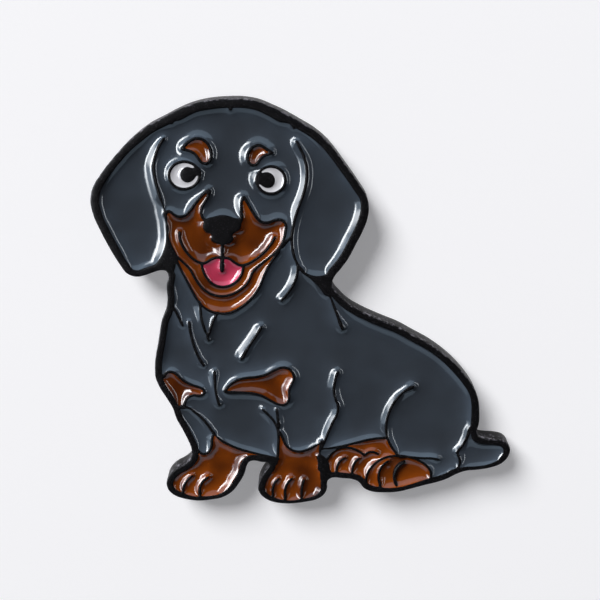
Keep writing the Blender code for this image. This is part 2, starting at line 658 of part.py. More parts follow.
def build_post(label, materials, parts):
    radius = POST_DIAMETER / 2
    foot = SOLDER_GAP
    shoulder = foot + FLANGE_THICKNESS
    groove = POST_LENGTH - POST_GROOVE_FROM_TIP
    waist = radius - POST_GROOVE_DEPTH
    profile = [
        (0.0, foot), (FLANGE_DIAMETER / 2, foot), (FLANGE_DIAMETER / 2, shoulder),
        (radius, shoulder), (radius, groove - POST_GROOVE_WIDTH), (waist, groove - POST_GROOVE_WIDTH * 0.6),
        (waist, groove - POST_GROOVE_WIDTH * 0.4), (radius, groove), (radius, POST_LENGTH - POST_TIP_LENGTH),
        (POST_TIP_DIAMETER / 2, POST_LENGTH), (0.0, POST_LENGTH),
    ]
    post = lathe(f"{label}_post", profile, parts, POST_STEPS)
    place = on_face(POST_MARKS[label])
    post.data.transform(Matrix.Translation((place.x, 0.0, place.y)))
    finish(post, f"{label}_post", materials["post_metal"], parts)


def cup_profile():
    bore = POST_DIAMETER / 2 + BORE_CLEARANCE
    rim = CUP_DIAMETER / 2
    return [
        (bore, 0.0), (rim - CUP_SHEET, 0.0), (rim, CUP_SHEET), (rim, CUP_SHEET + CUP_RIM_HEIGHT),
        (rim - CUP_SHEET, CUP_SHEET + CUP_RIM_HEIGHT), (rim - CUP_SHEET, CUP_SHEET * 1.5),
        (rim - CUP_SHEET * 1.5, CUP_SHEET), (bore, CUP_SHEET),
    ]


def cap_profile():
    bore = POST_DIAMETER / 2 + BORE_CLEARANCE
    seat = CUP_SHEET + CRIMP_GAP
    wall = CAP_DIAMETER / 2
    return [
        (wall - CAP_SHEET, seat), (wall + CAP_FLANGE_WIDTH, seat),
        (wall + CAP_FLANGE_WIDTH, seat + CAP_SHEET), (wall, seat + CAP_SHEET),
        (wall, CAP_HEIGHT - CAP_SHEET), (wall - CAP_SHEET, CAP_HEIGHT), (bore, CAP_HEIGHT),
        (bore, CAP_HEIGHT - CAP_SHEET), (wall - CAP_SHEET * 1.4, CAP_HEIGHT - CAP_SHEET),
        (wall - CAP_SHEET, CAP_HEIGHT - CAP_SHEET * 1.4),
    ]


def box(name, low, high, group):
    bpy.ops.mesh.primitive_cube_add(size=1.0)
    item = bpy.context.object
    item.name = name
    item.scale = Vector(high) - Vector(low)
    item.location = (Vector(high) + Vector(low)) / 2
    for holder in list(item.users_collection):
        holder.objects.unlink(item)
    group.objects.link(item)
    return bake(item)


def wing_path():
    """Middle line of one wing in the plane of (reach, height), from the jaw to the tip."""
    jaw = POST_DIAMETER / 2
    rise = WING_HEIGHT - FULCRUM_HEIGHT
    places = [(jaw, JAW_HEIGHT), (jaw + JAW_LENGTH, JAW_HEIGHT), (FULCRUM_RADIUS, FULCRUM_HEIGHT)]
    places += [(WING_REACH * across, FULCRUM_HEIGHT + rise * up) for across, up in WING_BENDS]
    return [Vector(place) for place in places]


def build_wing(name, cutters):
    """Wing on the +X side of a clutch whose cup rests on the plane y = 0."""
    places, _ = smooth_run(wing_path(), [1.0] * len(wing_path()), False)
    normals = side_normals(places, False)
    strip = [p + n * WING_SHEET / 2 for p, n in zip(places, normals)]
    strip += [p - n * WING_SHEET / 2 for p, n in zip(reversed(places), reversed(normals))]
    wing = prism(name, [strip], -WING_WIDTH, WING_WIDTH, cutters)
    wing.data.transform(Matrix.Rotation(math.pi / 2, 4, "X"))
    if wing.data.vertices[0].co.y < 0:
        wing.data.transform(Matrix.Scale(-1, 4, Vector((0, 1, 0))))
        weld(wing.data)
    arm = WING_ARM_WIDTH / 2
    flare = WING_WIDTH / 2
    neck = FULCRUM_RADIUS + WING_NECK
    tip = WING_REACH + WING_SHEET
    corner = WING_WIDTH * 0.22
    half = [(0.0, arm), (neck, arm), (neck + WING_SHOULDER, flare)]
    half += [
        (tip - corner * (1 - math.sin(a)), flare - corner * (1 - math.cos(a)))
        for a in [math.pi / 2 * k / 5 for k in range(6)]
    ]
    plan = [Vector(p) for p in half] + [Vector((x, -z)) for x, z in reversed(half)]
    limit = prism(name + "_plan", [plan], -WING_HEIGHT, WING_HEIGHT * 2, cutters)
    combine(wing, limit, "INTERSECT")
    jaw = POST_DIAMETER / 2 + JAW_CLEARANCE
    hole = [(0.0, -CAP_HEIGHT), (jaw, -CAP_HEIGHT), (jaw, CAP_HEIGHT), (0.0, CAP_HEIGHT)]
    notch = lathe(name + "_notch", hole, cutters, POST_STEPS)
    return combine(wing, notch, "DIFFERENCE")


def build_clutch(label, materials, parts, cutters):
    place = on_face(POST_MARKS[label])
    seat = Matrix.Translation((place.x, CLOTH_GAP, place.y))
    metal = materials["clutch_metal"]
    cup = lathe(f"{label}_clutch_cup", cup_profile(), parts)
    cap = lathe(f"{label}_clutch_cap", cap_profile(), parts)
    side = WING_ARM_WIDTH / 2 + WING_SIDE_CLEARANCE
    far = CUP_DIAMETER / 2
    sill = FULCRUM_HEIGHT + WING_SHEET * 1.5 + PINCH_CLEARANCE
    window = box(f"{label}_window", (-far, -CAP_HEIGHT, -side), (far, sill, side), cutters)
    combine(cap, window, "DIFFERENCE")
    wing_right = build_wing(f"{label}_clutch_wing_right", cutters)
    wing_left = link_mesh(f"{label}_clutch_wing_left", wing_right.data.copy(), parts)
    wing_left.data.transform(Matrix.Rotation(math.pi, 4, "Y"))
    for item in (cup, cap, wing_left, wing_right):
        item.data.transform(seat)
        finish(item, item.name, metal, parts)


def build():
    clear_scene()
    parts = new_collection("dachshund_pin")
    cutters = new_collection("cutters", hidden=True)
    materials = make_materials()
    build_plate(materials, parts)
    build_enamel(materials, parts)
    for label in POST_MARKS:
        build_post(label, materials, parts)
        build_clutch(label, materials, parts, cutters)
    for item in cutters.objects:
        item.hide_render = True
        item.display_type = "WIRE"


build()
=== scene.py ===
import json
import math

import bpy
import numpy as np
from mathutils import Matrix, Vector, kdtree
from mathutils.geometry import delaunay_2d_cdt


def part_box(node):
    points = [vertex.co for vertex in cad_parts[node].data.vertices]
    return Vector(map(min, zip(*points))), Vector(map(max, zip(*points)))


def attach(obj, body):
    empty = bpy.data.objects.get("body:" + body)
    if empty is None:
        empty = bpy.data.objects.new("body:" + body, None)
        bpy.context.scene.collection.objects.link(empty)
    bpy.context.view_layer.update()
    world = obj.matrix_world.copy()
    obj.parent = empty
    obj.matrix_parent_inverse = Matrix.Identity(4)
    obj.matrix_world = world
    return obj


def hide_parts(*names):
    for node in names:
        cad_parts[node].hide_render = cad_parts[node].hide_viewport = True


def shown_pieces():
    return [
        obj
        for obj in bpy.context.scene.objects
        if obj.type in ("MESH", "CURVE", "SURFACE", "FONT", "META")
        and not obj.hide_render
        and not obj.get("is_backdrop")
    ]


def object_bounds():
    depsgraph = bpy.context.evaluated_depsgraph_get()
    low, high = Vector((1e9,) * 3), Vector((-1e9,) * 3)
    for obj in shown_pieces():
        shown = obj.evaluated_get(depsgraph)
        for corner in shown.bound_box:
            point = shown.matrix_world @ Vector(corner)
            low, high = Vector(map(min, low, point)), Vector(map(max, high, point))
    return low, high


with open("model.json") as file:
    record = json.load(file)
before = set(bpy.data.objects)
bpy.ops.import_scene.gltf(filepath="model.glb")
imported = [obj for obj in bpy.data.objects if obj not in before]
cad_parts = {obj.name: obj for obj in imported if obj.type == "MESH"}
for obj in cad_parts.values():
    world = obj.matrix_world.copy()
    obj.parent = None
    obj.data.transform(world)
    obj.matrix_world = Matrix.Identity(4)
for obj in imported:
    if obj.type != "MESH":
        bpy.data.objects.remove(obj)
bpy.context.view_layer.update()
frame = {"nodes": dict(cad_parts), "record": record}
scene = bpy.context.scene
nodes = frame["nodes"]
mm = 0.001
print("frame loaded,", len(nodes), "nodes")


# outlines taken from the flat tops of the solids, as points (x, z)

outline = {
    "grain": 0.0002 * mm,
    "flat": 0.01 * mm,
    "least": 0.004 * mm,
    "fine": 0.02 * mm,
    "spacing": 0.09 * mm,
    "fewest": 10,
    "corner": math.radians(52),
    "softenings": 2,
}
# shares of a ring's distance or a grid's step
meshing = {"ringClear": 0.93, "rowStep": 0.866, "gridClear": 0.6}
skinSolver = {"rounds": 400, "enough": 1e-22}


# closed loops round the flat top of a solid
def topLoops(node):
    mesh = nodes[node].data
    mesh.calc_loop_triangles()
    places = np.array([v.co for v in mesh.vertices])
    level = places[:, 1].min()
    keys = [tuple(k) for k in np.rint(places[:, [0, 2]] / outline["grain"]).astype(int).tolist()]
    edges = set()
    for triangle in mesh.loop_triangles:
        corners = list(triangle.vertices)
        if places[corners, 1].max() < level + outline["flat"]:
            for a, b in zip(corners, corners[1:] + corners[:1]):
                if (keys[b], keys[a]) in edges:
                    edges.remove((keys[b], keys[a]))
                else:
                    edges.add((keys[a], keys[b]))
    onward = {}
    for a, b in sorted(edges):
        onward.setdefault(a, []).append(b)
    loops = []
    while onward:
        here = min(onward)
        ring = []
        while here in onward:
            ring.append(here)
            ends = onward[here]
            after = ends.pop()
            if not ends:
                del onward[here]
            here = after
        loops.append(np.array(ring) * outline["grain"])
    return loops


def lengths(vectors):
    return np.sqrt((vectors ** 2).sum(1))


# unit vectors to the left of a loop's run
def loopNormals(loop):
    run = np.roll(loop, -1, 0) - np.roll(loop, 1, 0)
    return np.stack([-run[:, 1], run[:, 0]], 1) / np.maximum(lengths(run), 1e-12)[:, None]


# even points on a smooth curve through a loop, with its sharp corners kept
def smoothLoop(points, spacing):
    points = points[lengths(points - np.roll(points, 1, 0)) > outline["least"]]
    ahead = np.roll(points, -1, 0) - points
    span = lengths(ahead)
    ahead /= span[:, None]
    behind = np.roll(ahead, 1, 0)
    turn = np.arccos(np.clip((ahead * behind).sum(1), -1, 1))
    middle = behind * span[:, None] + ahead * np.roll(span, 1)[:, None]
    middle /= np.maximum(lengths(middle), 1e-12)[:, None]
    sharp = (turn > outline["corner"])[:, None]
    leave = np.where(sharp, ahead, middle)
    arrive = np.where(sharp, behind, middle)
    runs = []
    for i in range(len(points)):
        j = (i + 1) % len(points)
        steps = max(1, math.ceil(span[i] / outline["fine"]))
        t = (np.arange(steps) / steps)[:, None]
        run = points[i] * (2 * t**3 - 3 * t**2 + 1) + points[j] * (3 * t**2 - 2 * t**3)
        run += (leave[i] * (t**3 - 2 * t**2 + t) + arrive[j] * (t**3 - t**2)) * span[i]
        runs.append(run)
    curve = np.concatenate(runs)
    closed = np.concatenate([curve, curve[:1]])
    along = np.concatenate([[0], np.cumsum(lengths(closed[1:] - closed[:-1]))])
    count = max(outline["fewest"], round(along[-1] / spacing))
    marks = np.arange(count) * along[-1] / count
    even = np.stack([np.interp(marks, along, closed[:, k]) for k in (0, 1)], 1)
    for _ in range(outline["softenings"]):
        even = even * 0.5 + (np.roll(even, 1, 0) + np.roll(even, -1, 0)) * 0.25
    return even


# which spots lie inside, by counting crossings
def inside(loops, spots):
    order = np.argsort(spots[:, 1], kind="stable")
    across, up = spots[order].T
    odd = np.zeros(len(spots), bool)
    for loop in loops:
        for a, b in zip(loop, np.roll(loop, -1, 0)):
            i, j = np.searchsorted(up, (min(a[1], b[1]), max(a[1], b[1])))
            if i < j:
                odd[i:j] ^= across[i:j] < a[0] + (up[i:j] - a[1]) * (b[0] - a[0]) / (b[1] - a[1])
    result = np.empty(len(spots), bool)
    result[order] = odd
    return result


# distance from each spot to the nearest loop
def edgeDistance(loops, spots):
    points = np.concatenate(loops)
    before = np.concatenate([np.roll(loop, 1, 0) for loop in loops])
    after = np.concatenate([np.roll(loop, -1, 0) for loop in loops])
    tree = kdtree.KDTree(len(points))
    for k, (x, z) in enumerate(points):
        tree.insert((x, z, 0), k)
    tree.balance()
    nearest = np.array([tree.find((x, z, 0))[1] for x, z in spots], int)
    best = np.full(len(spots), np.inf)
    for other in (before, after):
        start = points[nearest]
        run = other[nearest] - start
        t = ((spots - start) * run).sum(1) / np.maximum((run ** 2).sum(1), 1e-18)
        best = np.minimum(best, lengths(spots - start - run * np.clip(t, 0, 1)[:, None]))
    return best


# spots that keep their distance from earlier ones and from each other
def thin(spots, earlier, apart):
    cells = {}
    kept = []

    def near(x, z, i, j):
        for p in (i - 1, i, i + 1):
            for q in (j - 1, j, j + 1):
                for a, b in cells.get((p, q), ()):
                    if (a - x) ** 2 + (b - z) ** 2 < apart * apart:
                        return True
        return False

    for x, z in earlier:
        cells.setdefault((int(x // apart), int(z // apart)), []).append((x, z))
    for x, z in spots:
        i, j = int(x // apart), int(z // apart)
        if not near(x, z, i, j):
            cells.setdefault((i, j), []).append((x, z))
            kept.append((x, z))
    return np.array(kept).reshape(-1, 2)


# triangles over a region: its loops, rings of points along them and a grid in the middle
# side is 1 where the region lies left of its loops, -1 where it lies right
def fillRegion(loops, side, rings, gridStep, gridFrom):
    inner = np.empty((0, 2))
    for distance, apart in rings:
        fresh = []
        for loop in loops:
            fresh.append(loop + loopNormals(loop) * distance * side)
        fresh = np.concatenate(fresh)
        keep = inside(loops, fresh)
        keep[keep] = edgeDistance(loops, fresh[keep]) > distance * meshing["ringClear"]
        inner = np.concatenate([inner, thin(fresh[keep], inner, apart)])
    low = np.concatenate(loops).min(0)
    high = np.concatenate(loops).max(0)
    rows = np.arange(low[1], high[1], gridStep * meshing["rowStep"])
    cols = np.arange(low[0], high[0], gridStep)
    grid = [(x + (r % 2) * gridStep / 2, z) for r, z in enumerate(rows) for x in cols]
    grid = np.array(grid).reshape(-1, 2)
    keep = inside(loops, grid)
    keep[keep] = edgeDistance(loops, grid[keep]) > gridFrom
    inner = np.concatenate([inner, thin(grid[keep], inner, gridStep * meshing["gridClear"])])
    edges = []
    first = 0
    for loop in loops:
        edges += [(first + k, first + (k + 1) % len(loop)) for k in range(len(loop))]
        first += len(loop)
    spots = [Vector(p) for p in np.concatenate([*loops, inner])]
    places, _, faces, sources, _, _ = delaunay_2d_cdt(spots, edges, [], 0, 1e-8)
    places = np.array([tuple(p) for p in places])
    faces = np.array(faces)
    faces = faces[inside(loops, places[faces].mean(1))]
    found = {source: k for k, group in enumerate(sources) for source in group}
    return places, faces, found


# height of a thin liquid skin: 1 where it is held, falling to 0 over the spread
def capillary(places, faces, held, spread):
    rows, cols, pulls = [], [], []
    area = np.zeros(len(places))
    for a, b, c in ((0, 1, 2), (1, 2, 0), (2, 0, 1)):
        i, j, k = faces[:, a], faces[:, b], faces[:, c]
        u, v = places[i] - places[k], places[j] - places[k]
        twice = np.maximum(np.abs(u[:, 0] * v[:, 1] - u[:, 1] * v[:, 0]), 1e-16)
        pull = 0.5 * (u * v).sum(1) / twice
        rows += [i, j]
        cols += [j, i]
        pulls += [pull, pull]
        area += np.bincount(k, twice / 6, len(places))
    rows = np.concatenate(rows)
    cols = np.concatenate(cols)
    pulls = np.concatenate(pulls) * spread ** 2
    diagonal = area + np.bincount(rows, pulls, len(places))

    def apply(x):
        return diagonal * x - np.bincount(rows, pulls * x[cols], len(places))

    free = ~held
    height = held.astype(float)
    rest = np.where(free, -apply(height), 0.0)
    guide = np.where(free, rest / diagonal, 0.0)
    step = guide.copy()
    strength = (rest * guide).sum()
    for _ in range(skinSolver["rounds"]):
        pushed = np.where(free, apply(step), 0.0)
        move = strength / max((step * pushed).sum(), 1e-30)
        height += move * step
        rest -= move * pushed
        guide = np.where(free, rest / diagonal, 0.0)
        renewed = (rest * guide).sum()
        if renewed < skinSolver["enough"]:
            break
        step = guide + step * renewed / strength
        strength = renewed
    return height


def makePiece(name, verts, faces, body, replaced, climb):
    mesh = bpy.data.meshes.new(name)
    mesh.from_pydata([tuple(v) for v in verts], [], [tuple(f) for f in faces])
    layer = mesh.attributes.new("climb", "FLOAT", "POINT")
    layer.data.foreach_set("value", np.asarray(climb, np.float32))
    mesh.shade_smooth()
    piece = bpy.data.objects.new(name, mesh)
    scene.collection.objects.link(piece)
    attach(piece, body)
    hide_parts(*replaced)
    return piece


# shader helpers

def newMaterial(name):
    material = bpy.data.materials.new(name)
    material.use_nodes = True
    tree = material.node_tree
    return material, tree, tree.nodes["Principled BSDF"]


def addNode(tree, kind, **settings):
    node = tree.nodes.new(kind)
    for key, value in settings.items():
        if key in node.inputs:
            node.inputs[key].default_value = value
        else:
            setattr(node, key, value)
    return node


def objectPlaces(tree):
    return addNode(tree, "ShaderNodeTexCoord").outputs["Object"]


def newGroup(name, inputs, outputs):
    tree = bpy.data.node_groups.new(name, "ShaderNodeTree")
    for label, kind, value in inputs:
        socket = tree.interface.new_socket(label, in_out="INPUT", socket_type=kind)
        socket.default_value = value
    for label, kind in outputs:
        tree.interface.new_socket(label, in_out="OUTPUT", socket_type=kind)
    return tree, tree.nodes.new("NodeGroupInput"), tree.nodes.new("NodeGroupOutput")


def math2(tree, operation, a, b):
    node = addNode(tree, "ShaderNodeMath", operation=operation)
    for socket, value in zip(node.inputs, (a, b)):
        if isinstance(value, (int, float)):
            socket.default_value = value
        else:
            tree.links.new(value, socket)
    return node.outputs[0]


def remap(tree, value, low, high, outLow, outHigh):
    node = addNode(tree, "ShaderNodeMapRange")
    for label, number in zip(("From Min", "From Max", "To Min", "To Max"), (low, high, outLow, outHigh)):
        node.inputs[label].default_value = number
    tree.links.new(value, node.inputs["Value"])
    return node.outputs["Result"]


def mixColour(tree, factor, a, b):
    node = addNode(tree, "ShaderNodeMix", data_type="RGBA")
    sockets = (node.inputs["Factor"], node.inputs[6], node.inputs[7])  # 6 and 7 are the colours
    for socket, value in zip(sockets, (factor, a, b)):
        if isinstance(value, (int, float)):
            socket.default_value = value
        elif isinstance(value, tuple):
            socket.default_value = (*value, 1)
        else:
            tree.links.new(value, socket)
    return node.outputs[2]


# screen colour of 0 to 255 as the linear colour that shaders take
def linear(r, g, b):
    shares = [c / 255 for c in (r, g, b)]
    return tuple(c / 12.92 if c <= 0.04 else ((c + 0.055) / 1.055) ** 2.4 for c in shares)


# pits and specks of struck metal, shared by everything metallic

metalSpeck = {"size": 9000.0, "grainShare": 0.7, "pit": (0.12, 0.4), "patch": (0.42, 0.6), "sink": 0.5}
speckGroup, groupIn, groupOut = newGroup(
    "metalSpeck",
    [("Size", "NodeSocketFloat", metalSpeck["size"])],
    [("Pits", "NodeSocketFloat"), ("Height", "NodeSocketFloat")],
)
where = objectPlaces(speckGroup)
pitCells = addNode(speckGroup, "ShaderNodeTexVoronoi", Randomness=1.0)
speckGroup.links.new(where, pitCells.inputs["Vector"])
speckGroup.links.new(groupIn.outputs["Size"], pitCells.inputs["Scale"])
grainNoise = addNode(speckGroup, "ShaderNodeTexNoise", Detail=3.0, Roughness=0.65)
speckGroup.links.new(where, grainNoise.inputs["Vector"])
grainSize = math2(speckGroup, "MULTIPLY", groupIn.outputs["Size"], metalSpeck["grainShare"])
speckGroup.links.new(grainSize, grainNoise.inputs["Scale"])
pits = remap(speckGroup, pitCells.outputs["Distance"], *metalSpeck["pit"], 1.0, 0.0)
patchy = remap(speckGroup, grainNoise.outputs["Fac"], *metalSpeck["patch"], 0.0, 1.0)
speckGroup.links.new(math2(speckGroup, "MULTIPLY", pits, patchy), groupOut.inputs["Pits"])
sunk = math2(speckGroup, "MULTIPLY", pits, metalSpeck["sink"])
height = math2(speckGroup, "SUBTRACT", grainNoise.outputs["Fac"], sunk)
speckGroup.links.new(height, groupOut.inputs["Height"])


# roughness and bump that follow the specks
def speckFinish(tree, shader, speck, look):
    matt = remap(tree, speck.outputs["Height"], 0.0, 0.8, *look["roughness"])
    tree.links.new(matt, shader.inputs["Roughness"])
    bump = addNode(tree, "ShaderNodeBump", Strength=look["bumpStrength"], Distance=look["bump"])
    tree.links.new(speck.outputs["Height"], bump.inputs["Height"])
    tree.links.new(bump.outputs["Normal"], shader.inputs["Normal"])


# black metal of the plate

blackMetal = {
    "colour": linear(8, 7, 8),
    # the pits are painted a lighter grey: painted glints of light in the pits
    "worn": linear(44, 42, 46),
    # painted highlight along the outer rim's rounded edge: its light grey colour, and below the size,
    # thresholds and top share of the noise that breaks it into bits
    "bare": linear(150, 148, 158),
    "pitSize": 7500.0,
    "scuffSize": 2600.0,
    "scuff": (0.5, 0.68),
    "scuffMost": 0.75,
    "roughness": (0.26, 0.48),
    "specular": 0.08,
    "bump": 0.005 * mm,
    "bumpStrength": 0.6,
}
plateMaterial, tree, shader = newMaterial("blackMetal")
speck = addNode(tree, "ShaderNodeGroup", node_tree=speckGroup, Size=blackMetal["pitSize"])
# pits mixed towards the lighter colour: painted glints
shade = mixColour(tree, speck.outputs["Pits"], blackMetal["colour"], blackMetal["worn"])
# the plate's climb attribute is its nearness to the outer rim, where noise bits are mixed towards the
# painted rim highlight
rubbed = addNode(tree, "ShaderNodeAttribute", attribute_name="climb").outputs["Fac"]
rimGlints = addNode(tree, "ShaderNodeTexNoise", Scale=blackMetal["scuffSize"], Detail=4.0, Roughness=0.7)
tree.links.new(objectPlaces(tree), rimGlints.inputs["Vector"])
patches = remap(tree, rimGlints.outputs["Fac"], *blackMetal["scuff"], 0.0, blackMetal["scuffMost"])
shade = mixColour(tree, math2(tree, "MULTIPLY", rubbed, patches), shade, blackMetal["bare"])
tree.links.new(shade, shader.inputs["Base Color"])
shader.inputs["Specular IOR Level"].default_value = blackMetal["specular"]
speckFinish(tree, shader, speck, blackMetal)


# blasted back of the plate

blastedBack = {
    "colour": linear(30, 30, 33),
    "pale": linear(58, 57, 61),
    "grainSize": 2600.0,
    "roughness": (0.34, 0.5),
    "specular": 0.6,
    "bump": 0.03 * mm,
    "bumpStrength": 0.8,
}
backMaterial, tree, shader = newMaterial("blastedBack")
speck = addNode(tree, "ShaderNodeGroup", node_tree=speckGroup, Size=blastedBack["grainSize"])
shade = mixColour(tree, speck.outputs["Pits"], blastedBack["colour"], blastedBack["pale"])
tree.links.new(shade, shader.inputs["Base Color"])
shader.inputs["Specular IOR Level"].default_value = blastedBack["specular"]
speckFinish(tree, shader, speck, blastedBack)
print("metal finishes made")


# base plate: rounded raised lines, inner walls, outer edge and back

# rings are pairs: distance from the edge, least distance between points
plate = {
    "round": 0.07 * mm,
    "rings": [
        (0.012 * mm, 0.05 * mm),
        (0.032 * mm, 0.06 * mm),
        (0.06 * mm, 0.07 * mm),
        (0.11 * mm, 0.09 * mm),
    ],
    "grid": 0.3 * mm,
    "gridFrom": 0.2 * mm,
    "waist": 0.6 * mm,
    "backBevel": 0.12 * mm,
    "backGrid": 3 * mm,
    "backGridFrom": 1 * mm,
    # width of the band along the outer rim that takes the painted highlight
    "rubbed": 0.11 * mm,
}
metalLoops = [smoothLoop(loop, outline["spacing"]) for loop in topLoops("base_plate")]
sizes = [np.ptp(loop[:, 0]) * np.ptp(loop[:, 1]) for loop in metalLoops]
rim = int(np.argmax(sizes))  # the outer edge is the largest loop
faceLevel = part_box("base_plate")[0].y
places, faces, found = fillRegion(metalLoops, 1, plate["rings"], plate["grid"], plate["gridFrom"])
depth = edgeDistance(metalLoops, places)
inward = np.clip(plate["round"] - depth, 0, plate["round"])
levels = faceLevel + plate["round"] - np.sqrt(np.maximum(plate["round"] ** 2 - inward ** 2, 0))
verts = [(x, y, z) for (x, z), y in zip(places, levels)]
faces = [tuple(int(i) for i in f) for f in faces]
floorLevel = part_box("enamel_body")[1].y
# walls go down from the top: to the floor of the pools, and at the rim to the bevelled back
first = 0
for k, loop in enumerate(metalLoops):
    top = [found[first + i] for i in range(len(loop))]
    first += len(loop)
    if k == rim:
        normal = loopNormals(loop)
        bevel = plate["backBevel"]
        rows = [
            (loop, -plate["waist"]),
            (loop, -bevel),
            (loop + normal * bevel * 0.3, -bevel * 0.3),
            (loop + normal * bevel, 0.0),
        ]
    else:
        rows = [(loop, floorLevel)]
    for spots, level in rows:
        low = list(range(len(verts), len(verts) + len(spots)))
        verts += [(x, level, z) for x, z in spots]
        for i in range(len(top)):
            j = (i + 1) % len(top)
            faces.append((top[j], top[i], low[i], low[j]))
        top = low
    if k == rim:
        backLoop = rows[-1][0]
        backPlaces, backFaces, backFound = fillRegion(
            [backLoop], 1, [], plate["backGrid"], plate["backGridFrom"]
        )
        ring = {backFound[i]: top[i] for i in range(len(top))}
        index = []
        for i, (x, z) in enumerate(backPlaces):
            if i in ring:
                index.append(ring[i])
            else:
                index.append(len(verts))
                verts.append((x, 0.0, z))
        backStart = len(faces)
        faces += [(index[c], index[b], index[a]) for a, b, c in backFaces]
        backEnd = len(faces)
# nearness to the outer rim, stored as climb: where the painted rim highlight goes
rimGlintMask = np.zeros(len(verts))
rimGlintMask[:len(places)] = np.clip(1 - edgeDistance([metalLoops[rim]], places) / plate["rubbed"], 0, 1)
platePiece = makePiece("plate", verts, faces, "badge", ["base_plate"], rimGlintMask)
platePiece.data.materials.append(plateMaterial)
platePiece.data.materials.append(backMaterial)
for polygon in platePiece.data.polygons[backStart:backEnd]:
    polygon.material_index = 1
print("plate made,", len(faces), "faces")


# enamel: slightly hollow pools whose edges climb the metal

# level is the enamel's depth in the middle of a pool, rise what it gains at the metal
meniscus = {"level": 0.12 * mm, "rise": 0.45 * mm, "spread": 0.52 * mm}
hollowFill = {"level": 0.03 * mm, "rise": 0.54 * mm, "spread": 0.42 * mm}  # the tan pools
poolMesh = {
    "grid": 0.34 * mm,
    "gridFrom": 1.2 * mm,
    "rings": [
        (0.035 * mm, 0.05 * mm),
        (0.08 * mm, 0.06 * mm),
        (0.14 * mm, 0.08 * mm),
        (0.21 * mm, 0.09 * mm),
        (0.3 * mm, 0.1 * mm),
        (0.4 * mm, 0.12 * mm),
        (0.52 * mm, 0.14 * mm),
        (0.66 * mm, 0.17 * mm),
        (0.82 * mm, 0.2 * mm),
        (1.0 * mm, 0.24 * mm),
    ],
}
glaze = {
    "roughness": 0.09,
    "ior": 1.52,
    "driftSize": 380.0,
    "drift": (-0.1, 0.1),
    # climb range over which the edge colour comes in: painted light along the metal
    "edgeBand": (0.05, 0.8),
    "depthSize": 300.0,
    "thick": (0.4, 0.66),
    "thickMost": 0.85,
}
enamels = {
    # edge colours are painted light by the metal walls: brighter than the centre as a painted sheen on
    # slate, tan and pink, darker as painted shade on white
    "slate": {
        "edge": linear(64, 73, 84),
        "centre": linear(53, 59, 67),
        "deep": linear(49, 54, 61),
        "ripple": 0.007 * mm,
        "rippleSize": 1500.0,
    },
    "tan": {
        "edge": linear(124, 59, 11),
        "centre": linear(106, 49, 6),
        "deep": linear(60, 24, 4),
        "ripple": 0.06 * mm,
        "rippleSize": 900.0,
    },
    "white": {
        "edge": linear(206, 206, 211),
        "centre": linear(232, 233, 236),
        "deep": linear(196, 196, 202),
        "ripple": 0.007 * mm,
        "rippleSize": 1500.0,
    },
    "pink": {
        "edge": linear(206, 75, 106),
        "centre": linear(165, 42, 70),
        "deep": linear(150, 38, 62),
        "ripple": 0.03 * mm,
        "rippleSize": 900.0,
    },
}


def enamelMaterial(name, colours):
    material, tree, shader = newMaterial(name + "Enamel")
    climb = addNode(tree, "ShaderNodeAttribute", attribute_name="climb").outputs["Fac"]
    where = objectPlaces(tree)
    drift = addNode(tree, "ShaderNodeTexNoise", Scale=glaze["driftSize"], Detail=2.0)
    tree.links.new(where, drift.inputs["Vector"])
    moved = math2(tree, "ADD", climb, remap(tree, drift.outputs["Fac"], 0.3, 0.7, *glaze["drift"]))
    # towards the metal the colour goes to the edge colour: painted edge sheen, and on white painted edge
    # shade
    paintedEdgeShare = remap(tree, moved, *glaze["edgeBand"], 0.0, 1.0)
    shade = mixColour(tree, paintedEdgeShare, colours["centre"], colours["edge"])
    depths = addNode(tree, "ShaderNodeTexNoise", Scale=glaze["depthSize"], Detail=1.0)
    tree.links.new(where, depths.inputs["Vector"])
    thick = remap(tree, depths.outputs["Fac"], *glaze["thick"], 0.0, glaze["thickMost"])
    shade = mixColour(tree, thick, shade, colours["deep"])
    tree.links.new(shade, shader.inputs["Base Color"])
    shader.inputs["Roughness"].default_value = glaze["roughness"]
    shader.inputs["IOR"].default_value = glaze["ior"]
    ripple = addNode(tree, "ShaderNodeTexNoise", Scale=colours["rippleSize"], Detail=1.0)
    tree.links.new(where, ripple.inputs["Vector"])
    bump = addNode(tree, "ShaderNodeBump", Strength=1.0, Distance=colours["ripple"])
    tree.links.new(ripple.outputs["Fac"], bump.inputs["Height"])
    tree.links.new(bump.outputs["Normal"], shader.inputs["Normal"])
    return material


plateTree = kdtree.KDTree(sum(len(loop) for loop in metalLoops))
owner = []
for k, loop in enumerate(metalLoops):
    for x, z in loop:
        plateTree.insert((x, z, 0), len(owner))
        owner.append(k)
plateTree.balance()
colourOf = {part["node"]: part["material_slot"] for part in frame["record"]["subparts"]}
enamelLook = {name: enamelMaterial(name, colours) for name, colours in enamels.items()}
